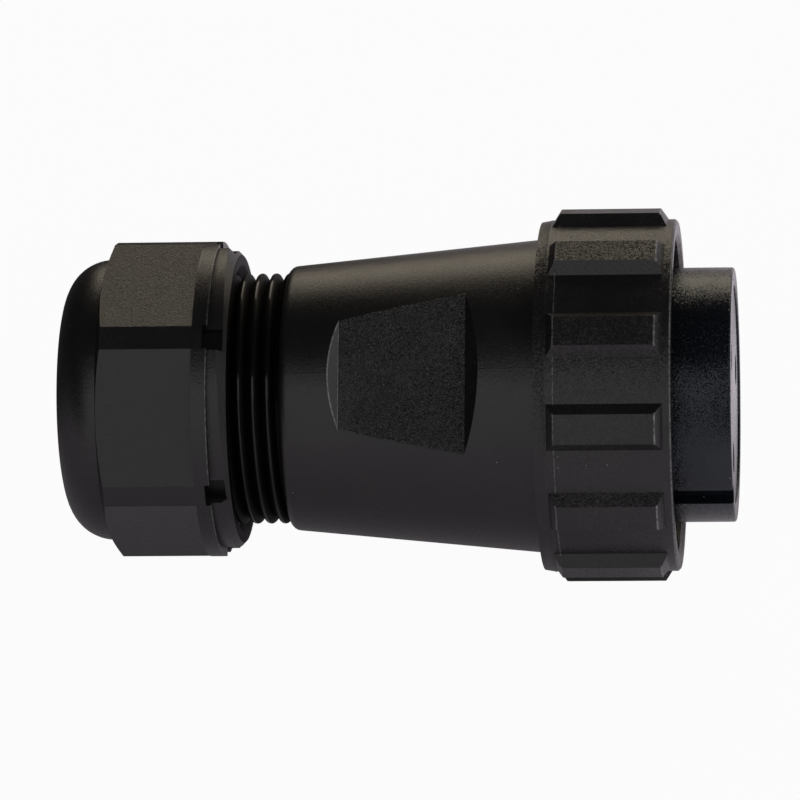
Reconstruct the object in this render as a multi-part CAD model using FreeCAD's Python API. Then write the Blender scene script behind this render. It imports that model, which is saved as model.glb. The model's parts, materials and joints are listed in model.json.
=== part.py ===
import FreeCAD
import Part
import math
import os

# Inline socket connector, lying along X: cable end at -X, contact face at x = 0, +Z up.
# Lengths in mm, angles in degrees counted round the axis from the front (-Y) up towards +Z.

# Cable gland thread, PG 21
thread_major_d = 28.3
thread_pitch = 1.5875
thread_clearance = 0.15
thread_allowance = 0.1
spigot_length = 13.0
nut_gap = 5.5
tighten_turns = 2.0
end_clearance = 0.3

# Gland nut
nut_wall = 1.7
corner_step = 1.74
hex_length = 10.2
hex_lead = 0.7
collar_length = 2.3
rim_chamfer = 1.5
rim_drop = 1.57
dome_step = 0.2
dome_wall = 2.95
mouth_lead = 0.8
cone_step = 0.85
cone_angle = 36.0
cable_hole_clearance = 1.3
hex_sides = 6
nut_angle = 25.8
ramp_length = 2.1
ramp_lag = 4.3
ramp_shallow = 0.45
ramp_deep = 1.2
catch_angle = 9.0
catch_depth = 1.9
catch_overrun = 0.6
catch_lip = 0.55

# Gland cage and seal
spigot_wall = 1.65
slide_clearance = 0.15
cage_base = 2.0
finger_wall = 1.75
finger_count = 8
finger_gap = 1.6
finger_tip = 0.3
cone_clearance = 0.25
mouth_depth = 7.7
seal_wall = 2.5
seal_clearance = 0.1
seal_lead = 0.6

# Body shell
body_length = 28.4
shoulder_step = 0.75
shoulder_round = 1.0
throat_ledge = 1.5
throat_past_shoulder = 3.9
cavity_d = 25.2
flat_wall = 1.65
flat_start = 6.7
flat_length = 14.0
flat_front_slope = 59.0
flat_angle = 43.3
flat_count = 2
bore_relief = 1.7

# Coupling ring
ring_length = 15.1
ring_play = 0.1
ring_running_clearance = 0.15
ring_flange = 2.2
ring_wall = 1.9
ring_draft = 0.2
ring_draft_length = 1.9
ring_front_edge = 0.25
ring_lead = 0.4
rib_count = 12
rib_angle = 23.0
rib_height = 1.2
rib_top_length = 11.1
rib_top_width = 3.35
rib_run = 0.8
rib_offset = 0.25

# Ring retaining clip
clip_thickness = 1.0
clip_clearance = 0.05
clip_groove_depth = 0.8
clip_bore_gap = 0.25
clip_opening = 30.0
clip_land = 1.1

# Neck, lock ring and seals
insert_step = 0.09  # the insert is this much larger in radius than the gland thread
insert_projection = 6.3
lock_clearance = 0.15
lock_wall = 1.2
lock_length = 2.5
lock_fit = 0.1
notch_count = 4
notch_width = 2.0
notch_depth = 1.0
neck_wall = 1.2
neck_step = 0.67
gasket_thickness = 1.2
gasket_clearance = 0.05
gasket_seat_depth = 0.2
bore_mouth_clearance = 0.9

# Contact carrier and cover
carrier_flange = 2.0
carrier_barrel = 4.0
carrier_step = 0.84
carrier_fit = 0.1
carrier_edge = 0.25
oring_section_d = 1.0
oring_clearance = 0.05
oring_groove_width = 1.3
keyway_width = 2.4
keyway_depth = 1.2
keyway_angle = -19.8
rim_width = 1.9
cover_thickness = 2.0
cover_recess = 0.25
cover_fit = 0.06
entry_d = 2.9
entry_lead = 0.35

# Contacts, with their springs, retainer and screws
contact_names = ["line", "neutral", "earth"]
contact_inset = 7.04
contact_angle = 70.0
pin_d = 2.5
pin_clearance = 0.02
contact_wall = 0.8
contact_setback = 0.35
socket_depth = 11.0
slot_width = 0.45
slot_length = 8.0
spring_wall = 0.3
spring_fit = 0.02
spring_length = 5.0
spring_setback = 1.9
spring_opening = 40.0
contact_bore_fit = 0.1
shoulder_wall = 0.4
shoulder_length = 1.95
shoulder_fit = 0.1
retainer_thickness = 4.35
terminal_length = 6.7
wire_d = 2.8
wire_depth = 6.2
terminal_screw_d = 2.4
terminal_screw_proud = 0.8
terminal_screw_pitch = 3.0
terminal_screw_end = 1.8
screw_fit = 0.05
retainer_screw_d = 3.0
retainer_screw_length = 11.0
retainer_head_d = 5.2
retainer_head_height = 1.8
driver_slot_width = 0.7
driver_slot_depth = 0.7

# Radii, from the thread inwards and outwards
nominal_r = thread_major_d / 2
thread_r = nominal_r - thread_allowance
mouth_r = nominal_r - spigot_wall
cage_r = mouth_r - slide_clearance
finger_inner_r = cage_r - finger_wall
seal_r = finger_inner_r - seal_clearance
cable_r = seal_r - seal_wall
throat_r = mouth_r - throat_ledge
nut_bore_r = nominal_r + thread_clearance
nut_apothem = nut_bore_r + nut_wall
collar_r = nut_apothem + corner_step
rim_r = collar_r - rim_drop
dome_r = nut_apothem - dome_step
cable_hole_r = cable_r + cable_hole_clearance
cone_start_r = nut_bore_r - cone_step
shoulder_r = nominal_r + shoulder_step
cavity_r = cavity_d / 2
flat_r = cavity_r + flat_wall

# Radii, from the carrier outwards
insert_r = nominal_r + insert_step
gasket_seat_r = insert_r - gasket_seat_depth
lock_inner_r = insert_r + lock_clearance
lock_r = lock_inner_r + lock_wall
neck_bore_r = lock_r + lock_fit
neck_r = neck_bore_r + neck_wall
body_front_r = neck_r + neck_step
flange_bore_r = neck_r + ring_running_clearance
ring_bore_r = neck_r + bore_mouth_clearance
ring_r = ring_bore_r + ring_wall
rib_r = ring_r + rib_height
carrier_bore_r = insert_r - carrier_step
carrier_barrel_r = carrier_bore_r - carrier_fit
cover_seat_r = insert_r - rim_width
contact_circle_r = insert_r - contact_inset
cover_r = cover_seat_r - cover_fit
clip_groove_r = neck_r - clip_groove_depth
clip_r = ring_bore_r - clip_bore_gap
socket_r = pin_d / 2 + pin_clearance
tube_r = socket_r + contact_wall
spring_r = tube_r + spring_fit + spring_wall
contact_bore_r = spring_r + contact_bore_fit
contact_shoulder_r = contact_bore_r + shoulder_wall
terminal_r = contact_bore_r

# Stations along the axis, from the contact face back to the cable end
rim_x = cover_recess
ring_front_x = rim_x - insert_projection
ring_rear_x = ring_front_x - ring_length
neck_start_x = ring_rear_x - ring_play
shoulder_x = neck_start_x - body_length
spigot_x = shoulder_x - spigot_length
seat_x = spigot_x + mouth_depth
throat_x = shoulder_x + throat_past_shoulder
groove_x = ring_rear_x + ring_flange + ring_play
groove_width = clip_thickness + 2 * clip_clearance
carrier_seat_x = groove_x + groove_width + clip_land
lock_x = carrier_seat_x + carrier_flange
neck_x = lock_x + lock_length
gasket_x = neck_x + gasket_thickness
barrel_x = carrier_seat_x - carrier_barrel
retainer_x = barrel_x - retainer_thickness
carrier_bore_x = retainer_x - bore_relief
cover_x = -cover_thickness
contact_tip_x = cover_x - contact_setback
shoulder_front_x = barrel_x + shoulder_length
terminal_x = retainer_x - terminal_length
flat_x = shoulder_x + flat_start

gland_travel = tighten_turns * thread_pitch
nut_x = shoulder_x - nut_gap
nut_bore_x = spigot_x - gland_travel - end_clearance
cone_length = (cone_start_r - cable_hole_r) / math.tan(math.radians(cone_angle))
dome_x = nut_bore_x - cone_length - dome_wall
collar_x = nut_x - rim_chamfer - collar_length
hex_x = collar_x - hex_length
hex_lead_x = hex_x - hex_lead
dome_edge_r = hex_lead_x - dome_x
cage_x = seat_x - gland_travel - end_clearance

axis = FreeCAD.Vector(1, 0, 0)
origin = FreeCAD.Vector(0, 0, 0)


def at(x, r):
    return FreeCAD.Vector(x, r, 0)


def lathe(outline):
    # A point is (x, r); a point with two more numbers ends an arc that passes through them.
    edges = []
    closed = outline + outline[:1]
    for start, end in zip(closed, closed[1:]):
        first, last = at(*start[:2]), at(*end[:2])
        if len(end) == 4:
            edges.append(Part.Arc(first, at(*end[2:]), last).toShape())
        else:
            edges.append(Part.makeLine(first, last))
    return Part.Face(Part.Wire(edges)).revolve(origin, axis, 360)


def rod(x0, x1, r):
    return Part.makeCylinder(r, x1 - x0, at(x0, 0), axis)


def sleeve(x0, x1, inner_r, outer_r):
    return rod(x0, x1, outer_r).cut(rod(x0, x1, inner_r))


def block(x0, x1, y0, y1, z0, z1):
    corner = FreeCAD.Vector(x0, y0, z0)
    return Part.makeBox(x1 - x0, y1 - y0, z1 - z0, corner)


def turned(shape, angle):
    copy = shape.copy()
    copy.rotate(origin, axis, -angle)
    return copy


def round_axis(shape, count, first_angle):
    return [turned(shape, first_angle + i * 360 / count) for i in range(count)]


def prism(points, x0, x1):
    corners = [FreeCAD.Vector(x0, y, z) for y, z in points]
    face = Part.Face(Part.makePolygon(corners + corners[:1]))
    return face.extrude(FreeCAD.Vector(x1 - x0, 0, 0))


def wedge(half_angle, x0, x1, r):
    # A sector about the front direction, straight-sided out to r.
    side = r * math.tan(math.radians(half_angle))
    return prism([(0, 0), (-r, -side), (-r, side)], x0, x1)


def hexagon(x0, x1):
    # Six flats at the apothem; the corners are cut straight across at the collar's radius.
    edge = math.acos(nut_apothem / collar_r)
    points = []
    for i in range(hex_sides):
        middle = 2 * math.pi * i / hex_sides
        for a in (middle - edge, middle + edge):
            points.append((-collar_r * math.cos(a), collar_r * math.sin(a)))
    return prism(points, x0, x1)


def collar_ramp():
    # A shallow ramp across one sixth of the collar, deepening towards its lower end, where it
    # drops into a catch that stops short of the rim.
    half = 180 / hex_sides
    shift = (ramp_deep - ramp_shallow) / 2 / math.sin(math.radians(half))
    floor_r = collar_r - (ramp_shallow + ramp_deep) / 2
    start = nut_x - ramp_length
    sector = wedge(half, start, nut_x, 2 * collar_r)
    floor = Part.makeCylinder(floor_r, ramp_length, FreeCAD.Vector(start, 0, shift), axis)
    catch_start, catch_end = start - catch_overrun, nut_x - catch_lip
    catch = wedge(catch_angle / 2, catch_start, catch_end, 2 * collar_r)
    catch = catch.cut(rod(catch_start, catch_end, collar_r - catch_depth))
    return sector.cut(floor).fuse(turned(catch, catch_angle / 2 - half))


def gland_nut():
    cap = lathe([
        (dome_x, 0),
        (dome_x, dome_r - dome_edge_r),
        (
            dome_x + dome_edge_r,
            dome_r,
            dome_x + dome_edge_r * (1 - math.sqrt(0.5)),
            dome_r - dome_edge_r * (1 - math.sqrt(0.5)),
        ),
        (collar_x, dome_r),
        (collar_x, collar_r),
        (nut_x - rim_chamfer, collar_r),
        (nut_x, rim_r),
        (nut_x, 0),
    ])
    lead = lathe([
        (hex_lead_x, 0),
        (hex_lead_x, dome_r),
        (hex_x, collar_r),
        (collar_x, collar_r),
        (collar_x, 0),
    ])
    solid = cap.fuse(hexagon(hex_lead_x, collar_x).common(lead))
    hollow = lathe([
        (dome_x, 0),
        (dome_x, cable_hole_r),
        (nut_bore_x - cone_length, cable_hole_r),
        (nut_bore_x, cone_start_r),
        (nut_bore_x, nut_bore_r),
        (nut_x - mouth_lead, nut_bore_r),
        (nut_x, nut_bore_r + mouth_lead),
        (nut_x, 0),
    ])
    solid = solid.cut(hollow).cut(round_axis(collar_ramp(), hex_sides, -ramp_lag))
    return turned(solid.removeSplitter(), nut_angle)


def gland_cage():
    tip_r = finger_inner_r + finger_tip
    slope = math.tan(math.radians(cone_angle))
    bevel_x = nut_bore_x - (cone_start_r - cone_clearance - cage_r) / slope
    tip_x = bevel_x - (cage_r - tip_r) / slope
    solid = lathe([
        (cage_x, seal_r - seal_wall / 2),
        (cage_x, cage_r),
        (bevel_x, cage_r),
        (tip_x, tip_r),
        (tip_x, finger_inner_r),
        (cage_x - cage_base, finger_inner_r),
        (cage_x - cage_base, seal_r - seal_wall / 2),
    ])
    gap = block(tip_x, cage_x - cage_base, -2 * cage_r, 0, -finger_gap / 2, finger_gap / 2)
    return solid.cut(round_axis(gap, finger_count, 0)), tip_x


def gland_seal(tip_x):
    end = cage_x - cage_base
    return lathe([
        (tip_x, cable_r + seal_lead),
        (tip_x, seal_r),
        (end, seal_r),
        (end, cable_r),
        (tip_x + seal_lead, cable_r),
    ])


def finger_flat():
    # Tool for one flat: floor square to the front direction, sloping wall at each end.
    depth = body_front_r
    front_run = depth / math.tan(math.radians(flat_front_slope))
    points = [
        (flat_x - depth, -flat_r - depth),
        (flat_x, -flat_r),
        (flat_x + flat_length, -flat_r),
        (flat_x + flat_length + front_run, -flat_r - depth),
    ]
    corners = [FreeCAD.Vector(x, y, -body_front_r) for x, y in points]
    face = Part.Face(Part.makePolygon(corners + corners[:1]))
    return face.extrude(FreeCAD.Vector(0, 0, 2 * body_front_r))


def body_shell():
    half = shoulder_round * math.sqrt(0.5)
    solid = lathe([
        (spigot_x, mouth_r),
        (spigot_x, thread_r),
        (shoulder_x, thread_r),
        (shoulder_x, shoulder_r - shoulder_round),
        (
            shoulder_x + shoulder_round,
            shoulder_r,
            shoulder_x + shoulder_round - half,
            shoulder_r - shoulder_round + half,
        ),
        (neck_start_x, body_front_r),
        (neck_start_x, neck_r),
        (groove_x, neck_r),
        (groove_x, clip_groove_r),
        (groove_x + groove_width, clip_groove_r),
        (groove_x + groove_width, neck_r),
        (neck_x, neck_r),
        (neck_x, neck_bore_r),
        (carrier_seat_x, neck_bore_r),
        (carrier_seat_x, carrier_bore_r),
        (carrier_bore_x, carrier_bore_r),
        (carrier_bore_x, cavity_r),
        (throat_x, cavity_r),
        (throat_x, throat_r),
        (seat_x, throat_r),
        (seat_x, mouth_r),
    ])
    return solid.cut(round_axis(finger_flat(), flat_count, flat_angle))


def grip_rib():
    # A frustum with four sloping flanks, its foot sunk far enough to meet the round ring.
    sink = rib_height
    foot_r = ring_r - sink
    slope = rib_run / rib_height
    foot_run = rib_run + sink * slope
    middle = (ring_front_x + ring_rear_x) / 2 + rib_offset
    half_length, half_width = rib_top_length / 2, rib_top_width / 2

    def loop(r, run):
        x0, x1 = middle - half_length - run, middle + half_length + run
        z = half_width + run
        corners = [(x0, -z), (x1, -z), (x1, z), (x0, z)]
        return Part.makePolygon([FreeCAD.Vector(x, -r, h) for x, h in corners + corners[:1]])

    return Part.makeLoft([loop(foot_r, foot_run), loop(rib_r, 0)], True, True)


def coupling_ring():
    solid = lathe([
        (ring_rear_x, flange_bore_r),
        (ring_rear_x, ring_r - ring_draft),
        (ring_rear_x + ring_draft_length, ring_r),
        (ring_front_x - ring_front_edge, ring_r),
        (ring_front_x, ring_r - ring_front_edge),
        (ring_front_x, ring_bore_r + ring_lead),
        (ring_front_x - ring_lead, ring_bore_r),
        (ring_rear_x + ring_flange, ring_bore_r),
        (ring_rear_x + ring_flange, flange_bore_r),
    ])
    return solid.fuse(round_axis(grip_rib(), rib_count, rib_angle)).removeSplitter()


def ring_retaining_clip():
    start = groove_x + clip_clearance
    end = start + clip_thickness
    ring = sleeve(start, end, clip_groove_r + clip_clearance, clip_r)
    return ring.cut(wedge(clip_opening / 2, start, end, 2 * clip_r))


def contact_places(shape):
    return round_axis(shape, len(contact_names), contact_angle)


def beside_axis(shape):
    return shape.translated(FreeCAD.Vector(0, -contact_circle_r, 0))


def contact_carrier():
    groove_start = carrier_seat_x - carrier_barrel / 2 - oring_groove_width / 2
    groove_end = groove_start + oring_groove_width
    groove_r = carrier_bore_r - oring_section_d - 2 * oring_clearance
    solid = lathe([
        (barrel_x, 0),
        (barrel_x, carrier_barrel_r),
        (groove_start, carrier_barrel_r),
        (groove_start, groove_r),
        (groove_end, groove_r),
        (groove_end, carrier_barrel_r),
        (carrier_seat_x, carrier_barrel_r),
        (carrier_seat_x, lock_r),
        (lock_x, lock_r),
        (lock_x, gasket_seat_r),
        (gasket_x, gasket_seat_r),
        (gasket_x, insert_r),
        (rim_x - carrier_edge, insert_r),
        (rim_x, insert_r - carrier_edge),
        (rim_x, cover_seat_r),
        (cover_x, cover_seat_r),
        (cover_x, 0),
    ])
    bore = rod(barrel_x, cover_x, contact_bore_r)
    pocket = rod(barrel_x, shoulder_front_x, contact_shoulder_r + shoulder_fit)
    pilot = rod(barrel_x, retainer_x + retainer_screw_length, retainer_screw_d / 2 + screw_fit)
    keyway = block(
        gasket_x, rim_x, -2 * insert_r, keyway_depth - insert_r, -keyway_width / 2, keyway_width / 2
    )
    holes = contact_places(beside_axis(bore.fuse(pocket)))
    return solid.cut(holes + [pilot, turned(keyway, keyway_angle)])


def contact_cover():
    entry_r = entry_d / 2
    entry = lathe([
        (cover_x, 0),
        (cover_x, entry_r),
        (-entry_lead, entry_r),
        (0, entry_r + entry_lead),
        (0, 0),
    ])
    return rod(cover_x, 0, cover_r).cut(contact_places(beside_axis(entry)))


def carrier_lock_ring():
    ring = sleeve(lock_x, neck_x, lock_inner_r, lock_r)
    half = notch_width / 2
    notch = block(neck_x - notch_depth, neck_x, -2 * lock_r, 0, -half, half)
    return ring.cut(round_axis(notch, notch_count, 0))


def carrier_seal():
    middle = carrier_seat_x - carrier_barrel / 2
    ring_centre_r = carrier_bore_r - oring_clearance - oring_section_d / 2
    return Part.makeTorus(ring_centre_r, oring_section_d / 2, at(middle, 0), axis)


def mating_seal():
    return sleeve(neck_x, gasket_x, gasket_seat_r + gasket_clearance, neck_r - gasket_clearance)


def contact_retainer():
    plate = rod(retainer_x, barrel_x, carrier_barrel_r)
    hole = rod(retainer_x, barrel_x, terminal_r + shoulder_fit)
    centre = rod(retainer_x, barrel_x, retainer_screw_d / 2 + screw_fit)
    return plate.cut(contact_places(beside_axis(hole)) + [centre])


def driver_slot(x0, head_r):
    half = driver_slot_width / 2
    return block(x0, x0 + driver_slot_depth, -2 * head_r, 2 * head_r, -half, half)


def retainer_screw():
    head_x = retainer_x - retainer_head_height
    head = rod(head_x, retainer_x, retainer_head_d / 2)
    shank = rod(retainer_x, retainer_x + retainer_screw_length, retainer_screw_d / 2)
    return head.fuse(shank).cut(driver_slot(head_x, retainer_head_d))


def terminal_screw_stations():
    first = terminal_x + terminal_screw_end
    return [first, first + terminal_screw_pitch]


def radial_rod(x, r, start, end):
    # A rod through the contact at x, pointing out from the connector's axis.
    return Part.makeCylinder(r, end - start, FreeCAD.Vector(x, -start, 0), FreeCAD.Vector(0, -1, 0))


def socket_contact():
    solid = lathe([
        (terminal_x, 0),
        (terminal_x, terminal_r),
        (barrel_x, terminal_r),
        (barrel_x, contact_shoulder_r),
        (shoulder_front_x, contact_shoulder_r),
        (shoulder_front_x, tube_r),
        (contact_tip_x, tube_r),
        (contact_tip_x, 0),
    ])
    socket = rod(contact_tip_x - socket_depth, contact_tip_x, socket_r)
    half = slot_width / 2
    slot = block(contact_tip_x - slot_length, contact_tip_x, -half, half, -2 * tube_r, 2 * tube_r)
    wire = rod(terminal_x, terminal_x + wire_depth, wire_d / 2)
    tapped_r = terminal_screw_d / 2 + screw_fit
    tapped = [radial_rod(x, tapped_r, 0, 2 * terminal_r) for x in terminal_screw_stations()]
    return beside_axis(solid.cut([socket, slot, wire] + tapped))


def contact_spring():
    end = contact_tip_x - spring_setback
    start = end - spring_length
    ring = sleeve(start, end, tube_r + spring_fit, spring_r)
    return beside_axis(ring.cut(wedge(spring_opening / 2, start, end, 2 * spring_r)))


def terminal_screws():
    # Headless, slotted, in pairs on each terminal.
    start, end = wire_d / 2, terminal_r + terminal_screw_proud
    half = driver_slot_width / 2
    screws = []
    for x in terminal_screw_stations():
        screw = radial_rod(x, terminal_screw_d / 2, start, end)
        slot = block(x - half, x + half, -end, driver_slot_depth - end, -terminal_r, terminal_r)
        screws += contact_places(beside_axis(screw.cut(slot)))
    return Part.makeCompound(screws)


cage, finger_tip_x = gland_cage()
pieces = {
    "body_shell": body_shell(),
    "coupling_ring": coupling_ring(),
    "ring_retaining_clip": ring_retaining_clip(),
    "contact_carrier": contact_carrier(),
    "contact_cover": contact_cover(),
    "carrier_lock_ring": carrier_lock_ring(),
    "carrier_seal": carrier_seal(),
    "mating_seal": mating_seal(),
    "contact_retainer": contact_retainer(),
    "retainer_screw": retainer_screw(),
    "terminal_screws": terminal_screws(),
    "gland_cage": cage,
    "gland_seal": gland_seal(finger_tip_x),
    "gland_nut": gland_nut(),
}
for name, contact, spring in zip(
    contact_names, contact_places(socket_contact()), contact_places(contact_spring())
):
    pieces[name + "_contact"] = contact
    pieces[name + "_contact_spring"] = spring

os.makedirs("parts", exist_ok=True)
for name, shape in pieces.items():
    shape.exportStep("parts/" + name + ".step")
    print(name, shape.isValid(), len(shape.Solids), round(shape.Volume, 1))
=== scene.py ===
import bmesh
import bpy
import json
import math
from mathutils import Matrix, Vector


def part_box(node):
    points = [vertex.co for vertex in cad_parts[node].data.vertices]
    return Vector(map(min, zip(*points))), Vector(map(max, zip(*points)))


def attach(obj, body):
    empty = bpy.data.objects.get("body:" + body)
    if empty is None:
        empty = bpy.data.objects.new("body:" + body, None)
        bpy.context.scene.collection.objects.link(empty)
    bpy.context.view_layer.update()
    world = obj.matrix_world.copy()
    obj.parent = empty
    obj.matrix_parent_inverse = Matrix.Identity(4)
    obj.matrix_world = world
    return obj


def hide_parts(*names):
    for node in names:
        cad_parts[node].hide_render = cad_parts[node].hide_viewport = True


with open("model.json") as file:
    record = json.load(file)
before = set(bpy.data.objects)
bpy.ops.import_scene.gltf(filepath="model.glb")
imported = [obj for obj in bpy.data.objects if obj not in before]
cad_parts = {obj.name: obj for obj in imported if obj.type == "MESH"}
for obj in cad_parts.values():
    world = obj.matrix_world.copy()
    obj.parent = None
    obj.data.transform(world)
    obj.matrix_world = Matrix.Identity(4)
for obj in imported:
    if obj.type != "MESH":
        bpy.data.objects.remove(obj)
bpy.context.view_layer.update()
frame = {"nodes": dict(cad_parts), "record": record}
mm = 0.001
print("frame loaded:", len(frame["nodes"]), "nodes")


# one wire of a node tree; arithmetic on wires adds Math nodes
class Wire:
    def __init__(self, tree, socket):
        self.tree = tree
        self.socket = socket

    def maths(self, operation, first, second):
        node = self.tree.nodes.new("ShaderNodeMath")
        node.operation = operation
        for slot, value in zip(node.inputs, (first, second)):
            if isinstance(value, Wire):
                self.tree.links.new(value.socket, slot)
            else:
                slot.default_value = value
        return Wire(self.tree, node.outputs[0])

    def __add__(self, other):
        return self.maths("ADD", self, other)

    def __radd__(self, other):
        return self.maths("ADD", other, self)

    def __sub__(self, other):
        return self.maths("SUBTRACT", self, other)

    def __rsub__(self, other):
        return self.maths("SUBTRACT", other, self)

    def __mul__(self, other):
        return self.maths("MULTIPLY", self, other)

    def __rmul__(self, other):
        return self.maths("MULTIPLY", other, self)

    def __gt__(self, other):
        return self.maths("GREATER_THAN", self, other)

    def __lt__(self, other):
        return self.maths("LESS_THAN", self, other)


# a material under construction; node() makes anything that is not plain arithmetic
class Finish:
    def __init__(self, name):
        self.material = bpy.data.materials.new(name)
        self.material.use_nodes = True
        self.tree = self.material.node_tree
        self.shader = self.tree.nodes["Principled BSDF"]
        self.place = self.node("ShaderNodeTexCoord", {}, {}, "Object")

    def node(self, kind, settings, sockets, output=0):
        made = self.tree.nodes.new(kind)
        for key, value in settings.items():
            setattr(made, key, value)
        for key, value in sockets.items():
            self.plug(made.inputs[key], value)
        return Wire(self.tree, made.outputs[output])

    def plug(self, slot, value):
        if isinstance(value, Wire):
            self.tree.links.new(value.socket, slot)
        else:
            slot.default_value = value

    def noise(self, scale, detail=3.0, roughness=0.5, place=None):
        sockets = {"Vector": place or self.place, "Scale": scale, "Detail": detail, "Roughness": roughness}
        return self.node("ShaderNodeTexNoise", {}, sockets, "Fac")

    def between(self, wire, low, high, outLow=0.0, outHigh=1.0):
        sockets = {"Value": wire, "From Min": low, "From Max": high, "To Min": outLow, "To Max": outHigh}
        return self.node("ShaderNodeMapRange", {"clamp": True, "interpolation_type": "SMOOTHSTEP"}, sockets)

    def mix(self, share, first, second):
        return self.node("ShaderNodeMix", {"data_type": "RGBA"}, {0: share, 6: first, 7: second}, 2)

    def along(self, axis):
        return self.node("ShaderNodeSeparateXYZ", {}, {"Vector": self.place}, axis)

    def radius(self):
        across = self.node("ShaderNodeVectorMath", {"operation": "MULTIPLY"}, {0: self.place, 1: (0.0, 1.0, 1.0)})
        return self.node("ShaderNodeVectorMath", {"operation": "LENGTH"}, {0: across}, "Value")

    def inside(self, wire, low, high):
        return (wire > low) * (wire < high)

    def specks(self, scale, size, share):
        # sparse round specks: small cells picked out by their random colour
        cell = {"Vector": self.place, "Scale": scale}
        near = self.node("ShaderNodeTexVoronoi", {}, cell, "Distance")
        colour = self.node("ShaderNodeTexVoronoi", {}, cell, "Color")
        pick = self.node("ShaderNodeSeparateColor", {}, {"Color": colour}, "Red")
        return (near < size) * (pick > 1.0 - share)

    def facets(self, scale, tilt):
        # tiny flats, each turned a little at random, as a spark-eroded mould leaves them
        turned = self.node("ShaderNodeTexVoronoi", {}, {"Vector": self.place, "Scale": scale}, "Color")
        level = self.node("ShaderNodeVectorMath", {"operation": "SUBTRACT"}, {0: turned, 1: (0.5, 0.5, 0.5)})
        lean = self.node("ShaderNodeVectorMath", {"operation": "SCALE"}, {0: level, "Scale": tilt})
        face = self.node("ShaderNodeNewGeometry", {}, {}, "Normal")
        both = self.node("ShaderNodeVectorMath", {"operation": "ADD"}, {0: face, 1: lean})
        return self.node("ShaderNodeVectorMath", {"operation": "NORMALIZE"}, {0: both})

    def bumped(self, height, strength, distance, under=None):
        sockets = {"Height": height, "Strength": strength, "Distance": distance}
        if under:
            sockets["Normal"] = under
        return self.node("ShaderNodeBump", {}, sockets)

    def cover(self, share, second):
        # another shader over the main one, by its share
        first = Wire(self.tree, self.shader.outputs[0])
        both = self.node("ShaderNodeMixShader", {}, {0: share, 1: first, 2: second})
        self.tree.links.new(both.socket, self.tree.nodes["Material Output"].inputs["Surface"])

    def done(self, **values):
        for key, value in values.items():
            self.plug(self.shader.inputs[key], value)
        return self.material


mouldedLook = {
    "colour": (0.0115, 0.011, 0.0115, 1),
    "bloom": (0.018, 0.017, 0.0165, 1),
    "dust": (0.3, 0.29, 0.27, 1),
    "paintedGlint": (0.1, 0.1, 0.11, 1),
    "darker": (0.004, 0.004, 0.0042, 1),
    "wallLight": (0.088, 0.086, 0.088, 1),
    "highlightAndDust": (0.17, 0.17, 0.175, 1),
    "dullAndShade": (0.003, 0.003, 0.003, 1),
    "fleck": (0.1, 0.098, 0.1, 1),
    "roughness": 0.33,
    "specular": 0.5,
    "tint": (1, 1, 1, 1),
    "grain": 4200.0,
    "glint": 9000.0,
}


# nylon as moulded; its last five arguments are masks of the places that look different, some of them painted shade,
# painted light and painted highlights
def mouldedNylon(
    name, look, grainDepth=0.04, glint=0.12, flecks=0.0, flat=None, thread=None, dullAndShade=None, wall=None, highlightAndDust=None,
):
    f = Finish(name)
    cloud = f.noise(90.0, 4.0, 0.6)
    flow = f.noise(330.0, 3.0, 0.55)
    grain = f.noise(look["grain"], 2.0, 0.6)
    fine = f.noise(look["grain"] * 2.3, 2.0, 0.5)
    speck = f.specks(1300.0, 0.10, 0.018)
    bloom = f.between(cloud * 0.7 + flow * 0.3, 0.42, 0.72)
    colour = f.mix(bloom, look["colour"], look["bloom"])
    colour = f.mix(speck * 0.75, colour, look["dust"])
    rough = look["roughness"] + (grain - 0.5) * 0.16 + (cloud - 0.5) * 0.14 + speck * 0.3
    height = grain * 0.65 + fine * 0.35
    tilt = glint * f.between(cloud, 0.3, 0.7, 0.4, 1.0)
    if flecks:  # handling marks, partly painted glints
        pale = f.between(f.noise(6500.0, 1.0, 0.6), 0.6, 0.7) * f.between(cloud, 0.35, 0.55) * flecks
        colour = f.mix(pale, colour, look["fleck"])
    if thread:  # left as it came off a polished core, and darker as painted shade between the turns
        polishedAndShaded = thread(f)
        colour = f.mix(polishedAndShaded, colour, look["darker"])
        rough = rough - polishedAndShaded * 0.2
        smooth = 1 - polishedAndShaded * 0.8
        height = height * smooth
        tilt = tilt * smooth
    if dullAndShade:  # a matt near-black cover: painted shade on the nut's face and catches and on the thread's flanks, and matt pits on the insert
        matt = {"Base Color": look["dullAndShade"], "Roughness": 0.55, "Specular IOR Level": 0.08}
        f.cover(dullAndShade(f), f.node("ShaderNodeBsdfPrincipled", {}, matt))
    if flat:  # spark-eroded patch, coarser than the shell round it; its pale specks are painted glints
        patch = flat(f)
        spark = f.noise(7600.0, 1.0, 0.6)
        wearAndLight = f.between(cloud, 0.46, 0.62, 1.0, 0.35)
        colour = f.mix(patch * wearAndLight, colour, look["darker"])
        colour = f.mix(patch * f.between(spark, 0.60, 0.70) * wearAndLight, colour, look["paintedGlint"])
        tilt = tilt + patch * wearAndLight * 0.55
        height = height * (1 - patch) + spark * patch * wearAndLight * 2.0
    if wall:  # painted light: the wall made paler
        wearAndLight = wall(f)
        colour = f.mix(wearAndLight, colour, look["wallLight"])
        tilt = tilt * (1 - wearAndLight)
    if highlightAndDust:  # painted highlights on edges, and pale specks that are partly dust and partly painted glints
        colour = f.mix(highlightAndDust(f), colour, look["highlightAndDust"])
    bump = f.bumped(height, 1.0, grainDepth * mm, f.facets(look["glint"], tilt))
    return f.done(**{
        "Base Color": colour, "Roughness": rough, "Normal": bump,
        "Specular IOR Level": look["specular"], "Specular Tint": look["tint"],
    })


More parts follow.
